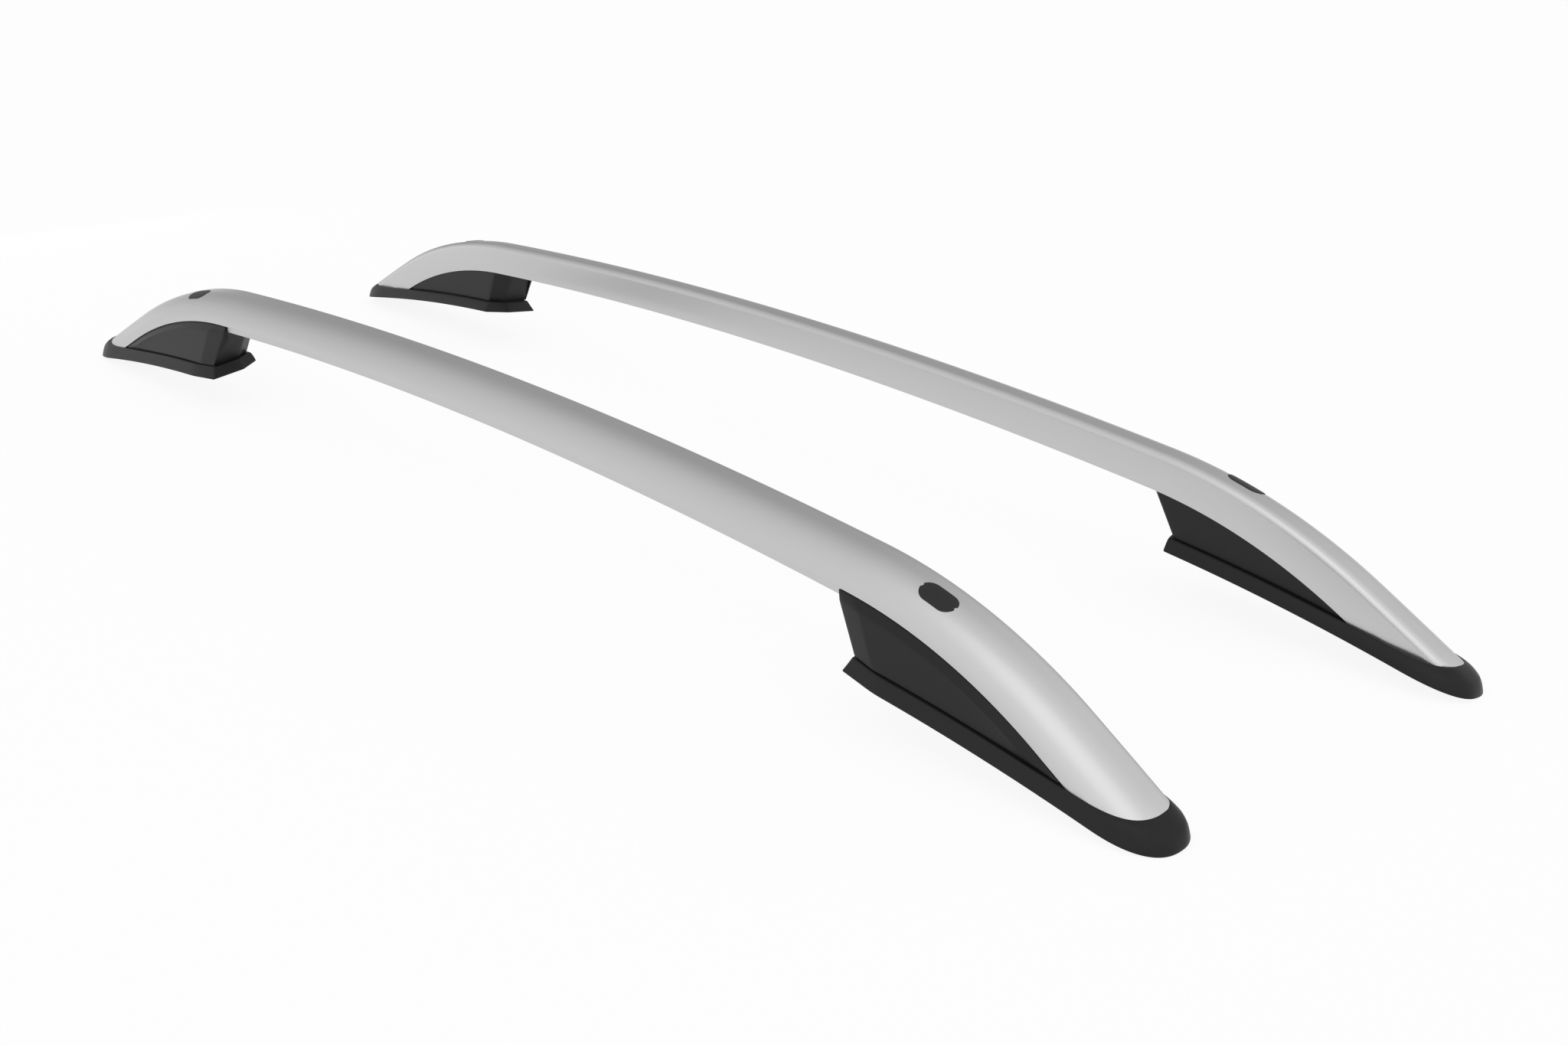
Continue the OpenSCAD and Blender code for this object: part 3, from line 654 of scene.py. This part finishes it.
def base_plan(line, side, far, nose, heel):
    """Ground plan of the base at insets of outer side, inner side, nose and heel, from the nose tip round."""
    f = line.f
    wide = line.half_width
    nose_steps = 26
    start_round, heel_round, inner_heel_round = 0.010, 0.0022, 0.0025
    outer_stop, inner_stop = 0.012, 0.01
    outer, inner = [], []
    for k in range(nose_steps + 1):
        t = QUARTER * k / nose_steps
        u = nose + (f.nose - nose) * (1 - math.cos(t))
        outer.append(Vector((u, (wide(u) - side) * line.nose_share(t))))
        inner.append(Vector((u, (far - f.inner) * line.nose_share(t))))
    start, in_start, end = f.base - f.heel_out[0], f.base - f.heel_in[0], f.base - heel
    a = Vector((start, wide(start) - side))
    b = Vector((end, wide(f.base) - side - f.heel_out[1]))
    c = Vector((end, side / 2 + f.heel_in[1] - f.inner))
    d = Vector((in_start, far - f.inner))
    outer += [Vector((u, wide(u) - side)) for u in spaced(f.nose, start - outer_stop, 12)]
    inner += [Vector((u, far - f.inner)) for u in spaced(f.nose, in_start - inner_stop, 13)]
    outer += corner_arc(Vector((f.nose, wide(f.nose) - side)), a, b, start_round, 3)
    outer.append((a + b) / 2)
    outer += corner_arc(a, b, c, heel_round, 4)
    inner += corner_arc(Vector((f.nose, far - f.inner)), d, c, heel_round, 4)
    inner += corner_arc(d, c, b, inner_heel_round, 4)
    heel_line = [b.lerp(c, t) for t in (0.3, 0.5, 0.7)]
    return outer + heel_line + inner[:0:-1]


def skirt_levels(f):
    """Skirt of the base: heights at sides and nose, insets of outer side, inner side, nose and heel."""
    h, n = f.base_height, f.rim_height
    return [
        (0, 0, 0.0006, 0.0006, 0.0007, 0.0006),
        (0.0004, 0.0004, 0.0002, 0.0002, 0.0003, 0.0002),
        (0.001, 0.001, 0.0001, 0.0001, 0.00012, 0.0001),
        (0.24 * h, 0.2 * n, 0.0012, 0.0012, 0.0007, 0.0016),
        (0.45 * h, 0.38 * n, 0.0026, 0.0027, 0.0016, 0.0034),
        (0.66 * h, 0.51 * n, 0.0038, 0.0043, 0.0028, 0.0050),
        (0.80 * h, 0.60 * n, 0.0046, 0.0056, 0.0041, 0.0062),
        (0.885 * h, 0.66 * n, 0.0051, 0.0066, 0.0060, 0.0068),
        (0.95 * h, 0.73 * n, 0.0056, 0.0077, 0.0090, 0.0074),
        (0.985 * h, 0.83 * n, 0.0061, 0.0086, 0.0136, 0.0079),
        (h, 0.925 * n, 0.0067, 0.0092, 0.0182, 0.0085),
        (h, n, 0.0076, 0.0097, 0.0222, 0.0094),
        (h, n, 0.0110, 0.0125, 0.0260, 0.0130),
    ]


def foot_plastic(context):
    """The plastic that the bases and the pillars share."""
    return bpy.data.materials.get("moulded_black_plastic") or moulded_plastic(context.scene.finishes.plastic)


class ROOFRAIL_OT_bases(bpy.types.Operator):
    """Draws the foot bases level by level, from the gasket's recess up the skirt to the top face"""

    bl_idname = "roofrail.bases"
    bl_label = "Foot bases"

    def execute(self, context):
        f = context.scene.foot_sizes
        line = RailLine(context.scene.rail_sizes, f)
        heel_end, ridge = f.base - 0.04, 0.002

        def plain(plan, h):
            return [line.foot(q.x, q.y, h) for q in plan]

        def middle(plan, h):
            """The plan drawn together to a line along the middle."""
            return [line.foot(min(q.x, heel_end), ridge, h(q.x)) for q in plan]

        recess = base_plan(line, f.gasket_inset, f.gasket_inset, f.gasket_inset, f.gasket_inset)
        skin = Skin("foot_pattern", middle(recess, lambda u: f.gasket))
        skin.ring(plain(recess, f.gasket))
        skin.ring(plain(recess, 0))
        for side_h, nose_h, *insets in skirt_levels(f):
            plan = base_plan(line, *insets)
            skin.ring([line.foot(q.x, q.y, side_h + (nose_h - side_h) * line.swell(q.x)) for q in plan])
        skin.ring(middle(plan, line.rim))
        foot = skin.close(smooth=30)
        to_feet(foot, ENDS, "foot", "base", foot_plastic(context))
        return {"FINISHED"}


class PillarPlan:
    """The pillar's outline as shares of its corners, which have a place on the base and one at the rail."""

    def __init__(self, line, reach):
        self.line = line
        r, f = line.r, line.f
        top_edge, heel_edge = 0.0066, 0.0084
        lip_edge, heel_ease, chamfer_ease, side_inset = 0.0008, 0.0006, 0.0016, 0.0101
        front_out, front_in, slant = 0.112, 0.140, 0.0028
        strip = r.strip - f.seam
        over = r.width / 2 - lip_edge
        under = r.width / 2 - r.strip_depth - f.seam
        inside = f.seam - r.width / 2
        back = f.base - heel_edge - f.pillar_inset + heel_ease
        out_start, in_start = back - 0.029, back - 0.012
        ends = back + f.heel_lean
        notch = ends + reach

        def wide(u):
            return line.half_width(u) - top_edge - f.pillar_inset

        heel_out = wide(f.base) - f.heel_out[1]
        heel_in = f.heel_in[1] - f.inner
        toe_out = line.at(r.overall / 2 - front_out, over, strip)
        toe_in = line.at(r.overall / 2 - front_in, inside, 0)
        # The corners run from the toe along the outer side to the heel and back along the inner side.
        self.base = [
            Vector((r.overall / 2 - toe_out.x, wide(front_out))),
            Vector((out_start, wide(out_start))),
            Vector((back, heel_out + chamfer_ease)),
            Vector((back, heel_out + heel_ease)),
            Vector((back, heel_in + chamfer_ease)),
            Vector((in_start, side_inset - f.inner)),
            Vector((front_in, toe_in.y - r.spacing / 2)),
        ]
        self.rail = [
            Vector((front_out, over, strip)),
            Vector((out_start + f.heel_lean + 0.010, over, strip)),
            Vector((notch, over, strip)),
            Vector((notch - slant, under, 0)),
            Vector((ends - 0.002, heel_in, 0)),
            Vector((in_start + f.heel_lean - 0.006, inside, 0)),
            Vector((front_in, inside, 0)),
        ]
        inwards = [(1, -1), (-0.1, -1), (-1, -0.9), (-1, -0.9), (-1, 0.3), (-0.56, 1), (1, 1)]
        self.step = [Vector(v) for v in inwards]
        self.bevel = [1, 1, 0.2, 0, 0, 0, 0]
        self.shares = self.rows(
            rounding=[0.001, 0.0025, 0.0003, 0.0003, 0.003, 0.003, 0.001], runs=[26, 6, 1, 5, 3, 24, 4]
        )

    def rows(self, rounding, runs):
        """Each place of the outline as shares of the corners, with rounded corners and runs between them."""
        shares = []
        corners = len(runs)
        steps = 5
        for k in range(corners):
            following = (k + 1) % corners
            here, there, last = self.base[k], self.base[following], self.base[k - 1]
            before = rounding[k] / (here - last).length
            after = rounding[k] / (there - here).length
            for j in range(steps + 1):
                t = j / steps
                row = [0.0] * corners
                row[k - 1] += before * (1 - t) ** 2
                row[following] += after * t * t
                row[k] += 1 - row[k - 1] - row[following]
                shares.append(row)
            end = 1 - rounding[following] / (there - here).length
            for t in spaced(after, end, runs[k]):
                row = [0.0] * corners
                row[k] = 1 - t
                row[following] = t
                shares.append(row)
        return shares

    def mixed(self, values, row):
        """A corner value mixed by the shares of one place."""
        total = values[0] * 0
        for share, value in zip(row, values):
            total = total + value * share
        return total

    def low(self, inset, h):
        """The outline on the base, inset, at a height above the base's top."""
        points = []
        for row in self.shares:
            q = self.mixed(self.base, row)
            s = self.mixed(self.step, row)
            points.append(self.line.on_base(q.x + inset * s.x, q.y + inset * s.y, h))
        return points

    def high(self, inset, drop, across=None):
        """The outline along the rail, moved inwards and down, or across as a function says."""
        half = self.line.r.overall / 2
        points = []
        for row in self.shares:
            p = self.mixed(self.rail, row)
            s = self.mixed(self.step, row)
            side = p.y + inset * s.y if across is None else across(p.y)
            points.append(self.line.at(half - p.x - inset * s.x, side, p.z - drop))
        return points

    def wall(self):
        """Foot, knee and crown of each upright of the wall."""
        f = self.line.f
        least, bevel_share, knee_lean = 0.0005, 0.6, 0.42
        uprights = []
        for row, foot, crown in zip(self.shares, self.low(0, f.gap), self.high(0, 0)):
            bevel = self.mixed(self.bevel, row)
            tall = max(least, crown.z - foot.z)
            drop = min(f.bevel_height, bevel_share * tall)
            if bevel:
                part = drop / f.bevel_height * bevel
                x = crown.x + (foot.x - crown.x) * knee_lean * part
                knee = Vector((x, crown.y + f.bevel_depth * part, crown.z - drop))
            else:
                knee = foot.lerp(crown, 1 - drop / tall)
            uprights.append((foot, knee, crown))
        return uprights


class ROOFRAIL_OT_pillars(bpy.types.Operator):
    """Draws the pillars that fill the wedge between base and rail, with lip, bevel and heel"""

    bl_idname = "roofrail.pillars"
    bl_label = "Pillars"

    def execute(self, context):
        f = context.scene.foot_sizes
        line = RailLine(context.scene.rail_sizes, f)
        for end, reach in zip(ENDS, (f.reach_front, f.reach_rear)):
            pillar = self.pattern(line, PillarPlan(line, reach))
            to_feet(pillar, (end,), "pillar", "pedestal", foot_plastic(context))
        return {"FINISHED"}

    def pattern(self, line, plan):
        """The front left pillar, ring by ring from its lip in the base up to its seat under the rail."""
        r, f = line.r, line.f
        walls = plan.wall()
        under = r.width / 2 - r.strip_depth + 0.0001
        lip_depth, ridge, gather = 0.0006, 0.002, 0.6
        seat_inside, sink = -0.026, -0.0003
        rails = [plan.mixed(plan.rail, row) for row in plan.shares]

        def between(share):
            """A ring at a share of the way from foot to knee."""
            return [foot.lerp(knee, share) for foot, knee, crown in walls]

        def beyond(share):
            """A ring at a share of the way from knee to crown."""
            return [knee.lerp(crown, share) for foot, knee, crown in walls]

        def middle(points):
            """A ring drawn together towards the foot's middle."""
            return [Vector((p.x, (1 - gather) * p.y + gather * (r.spacing / 2), p.z)) for p in points]

        def seat(across):
            """A ring under the rail's floor."""
            return [line.at(r.overall / 2 - p.x, across(p.y), sink) for p in rails]

        lip = plan.low(f.lip, -lip_depth)
        skin = Skin("pillar_pattern", [Vector((p.x, r.spacing / 2 + ridge, p.z)) for p in lip])
        skin.ring(middle(lip))
        skin.ring(lip)
        skin.ring(plan.low(f.lip, f.gap))
        skin.ring(plan.low(0.0005, f.gap))
        skin.ring([a.lerp(b, 0.5) for a, b in zip(plan.low(0.0001, f.gap), between(0.01))])
        for share in (0.02, 0.2, 0.45, 0.7, 0.9, 0.965):
            skin.ring(between(share))
        for share in (0.04, 0.16, 0.5, 0.84, 0.96):
            skin.ring(beyond(share))
        skin.ring(plan.high(0.0003, 0))
        skin.ring(plan.high(0.0012, 0.0001))
        skin.ring(plan.high(0.0014, 0.0005 - f.seam))
        skin.ring(plan.high(0.0026, 0.0002 - f.seam, lambda across: min(across, under)))
        skin.ring(seat(lambda across: max(seat_inside, min(across, under))))
        skin.ring(seat(lambda across: across * 0.3))
        skin.ring(seat(lambda across: 0))
        return skin.close(smooth=32)


class ROOFRAIL_OT_covers(bpy.types.Operator):
    """Draws the oval screw covers on the rails' crowns, with a pry notch at each tip"""

    bl_idname = "roofrail.covers"
    bl_label = "Screw covers"

    def outline(self, c, inset):
        """An oval with a small notch at each tip, as places along and across."""
        radius = c.wide / 2
        reach = (c.long / 2 - radius) * c.straight
        tip = c.long / 2 - reach
        notch_half, notch_depth = c.notch[0] / 2, c.notch[1]
        steps = 16
        points = []
        for side in (1, -1):
            for k in range(-steps, steps + 1):
                t = QUARTER * k / steps
                x = (tip - inset) * math.cos(t)
                y = (radius - inset) * math.sin(t)
                if abs(y) < notch_half and inset < notch_depth:
                    x -= notch_depth - inset
                points.append(Vector((side * (reach + x), side * y)))
            for share in spaced(1, -1, 4):
                points.append(Vector((side * reach * share, side * (radius - inset))))
        return points

    def execute(self, context):
        c = context.scene.cover_sizes
        r = context.scene.rail_sizes
        line = RailLine(r, context.scene.foot_sizes)
        centre = r.overall / 2 - c.place
        sunk, flat_inset = -0.0008, 0.004

        def lay(points, h):
            """Puts an outline on the rail's crown, at a height over it."""
            ring = []
            for p in points:
                across = c.shift + p.y
                on = line.at(centre + p.x, across, line.crown(across))
                out = line.at(centre + p.x, across, line.crown(across) + MM) - on
                ring.append(on + out.normalized() * h)
            return ring

        def flat(inset):
            """The outline drawn together to a line along the rail."""
            return [Vector((p.x, 0)) for p in self.outline(c, inset)]

        skin = Skin("cover_pattern", lay(flat(0), sunk))
        for inset, height in (
            (0, sunk),
            (0, c.proud * 0.55),
            (0.0002, c.proud * 0.8),
            (0.0006, c.proud * 0.96),
            (0.0012, c.proud),
            (flat_inset, c.proud),
        ):
            skin.ring(lay(self.outline(c, inset), height))
        skin.ring(lay(flat(flat_inset), c.proud))
        cover = skin.close(smooth=40)
        to_feet(cover, ENDS, "cover", "cap", cover_plastic(context.scene.finishes.cover))
        return {"FINISHED"}


class ROOFRAIL_OT_fixings(bpy.types.Operator):
    """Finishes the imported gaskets, inserts, sleeves and screws"""

    bl_idname = "roofrail.fixings"
    bl_label = "Gaskets and fixings"

    def execute(self, context):
        c = context.scene.finishes
        paints = {
            "gasket": gasket_rubber(c.rubber),
            "insert": cast_alloy(c.cast),
            "sleeve": zinc_plate(c.zinc),
        }
        paints["screws"] = paints["sleeve"]
        for end, side in FEET:
            for piece, material in paints.items():
                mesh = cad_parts[f"{end}_{side}_{piece}"].data
                if not mesh.materials:
                    mesh.materials.append(material)
                for k in range(len(mesh.materials)):
                    mesh.materials[k] = material
        return {"FINISHED"}


class ROOFRAIL_OT_stage(bpy.types.Operator):
    """Sets the floor, the soft light and the camera"""

    bl_idname = "roofrail.stage"
    bl_label = "Stage"

    def execute(self, context):
        s = context.scene.stage_sizes
        deselect()
        floor_drop = 0.0005
        bpy.ops.mesh.primitive_plane_add(size=s.floor, location=(0, 0, -floor_drop))
        floor = bpy.context.active_object
        floor.name = "floor"
        bpy.ops.object.transform_apply(location=True, rotation=True, scale=True)
        floor.data.materials.append(studio_floor(context.scene.finishes.ground))
        self.sky(context)
        for name, place, aim, wide, high, power in (
            ("key_panel", (0.8, -2.4, 3.2), (0, 0, 0.1), 2.8, 2.8, 9),
            ("rear_panel", (-1.8, -0.1, 0.2), (-0.9, -0.25, 0.1), 0.9, 0.36, 0.3),
        ):
            bpy.ops.object.light_add(type="AREA", location=place)
            lamp = bpy.context.active_object
            lamp.name = name
            lamp.visible_camera = False
            lamp.data.shape = "RECTANGLE"
            lamp.data.size = wide
            lamp.data.size_y = high
            lamp.data.energy = power
            lamp.rotation_euler = (Vector(aim) - Vector(place)).to_track_quat("-Z", "Y").to_euler()
        bpy.ops.object.camera_add(location=s.eye)
        camera = bpy.context.active_object
        camera.name = "camera"
        camera.rotation_euler = (QUARTER - s.down, 0, s.heading - QUARTER)
        camera.data.lens = s.lens
        camera.data.sensor_width = 36
        camera.data.clip_end = 100
        context.scene.camera = camera
        context.scene.view_settings.view_transform = "Standard"
        return {"FINISHED"}

    def sky(self, context):
        """White to the camera. Its light is weakest from low behind the rails and strongest opposite."""
        world = bpy.data.worlds.new("studio")
        context.scene.world = world
        p = Paint(world)
        where = p.node("ShaderNodeTexCoord", out="Generated")
        behind = (-0.847, 0.489, 0.208)
        dot = p.node("ShaderNodeVectorMath", {"operation": "DOT_PRODUCT"}, {0: where, 1: behind}, "Value")
        greys = [(0, 1), (0.29, 1), (0.5, 0.88), (0.63, 0.82)]
        greys += [(0.75, 0.74), (0.855, 0.62), (0.935, 0.44), (1, 0.33)]
        stops = [(share, (grey, grey, grey)) for share, grey in greys]
        tone = p.node("ShaderNodeValToRGB", {"stops": stops}, {"Fac": dot * 0.5 + 0.5})
        light = p.node("ShaderNodeBackground", None, {"Color": tone, "Strength": 1.2})
        white = p.node("ShaderNodeBackground", None, {"Color": WHITE, "Strength": 1.0})
        p.node("ShaderNodeOutputWorld", None, {"Surface": p.mixed_shader(p.ray("Camera"), light, white)})


class ROOFRAIL_PT_panel(bpy.types.Panel):
    """Lists the sizes, the finishes and the steps"""

    bl_idname = "ROOFRAIL_PT_panel"
    bl_label = "Roof Side Rails"
    bl_space_type = "VIEW_3D"
    bl_region_type = "UI"
    bl_category = "Roof Rails"

    def draw(self, context):
        for group in GROUPS:
            sizes = getattr(context.scene, group)
            box = self.layout.box()
            box.label(text=group.replace("_", " ").capitalize())
            for key in sizes.bl_rna.properties.keys():
                if key not in ("rna_type", "name"):
                    box.prop(sizes, key)
        for step in STEPS:
            self.layout.operator(step.bl_idname)


GROUPS = {
    "rail_sizes": RailSizes,
    "foot_sizes": FootSizes,
    "cover_sizes": CoverSizes,
    "finishes": Finishes,
    "stage_sizes": StageSizes,
}
STEPS = [
    ROOFRAIL_OT_stage,
    ROOFRAIL_OT_rails,
    ROOFRAIL_OT_bases,
    ROOFRAIL_OT_pillars,
    ROOFRAIL_OT_covers,
    ROOFRAIL_OT_fixings,
]


def register():
    for kind in [*GROUPS.values(), *STEPS, ROOFRAIL_PT_panel]:
        bpy.utils.register_class(kind)
    for name, kind in GROUPS.items():
        setattr(bpy.types.Scene, name, bpy.props.PointerProperty(type=kind))


def unregister():
    for name in GROUPS:
        delattr(bpy.types.Scene, name)
    for kind in reversed([*GROUPS.values(), *STEPS, ROOFRAIL_PT_panel]):
        bpy.utils.unregister_class(kind)


def main():
    register()
    bpy.ops.roofrail.stage()
    bpy.ops.roofrail.rails()
    bpy.ops.roofrail.bases()
    bpy.ops.roofrail.pillars()
    bpy.ops.roofrail.covers()
    bpy.ops.roofrail.fixings()


if __name__ == "__main__":
    main()
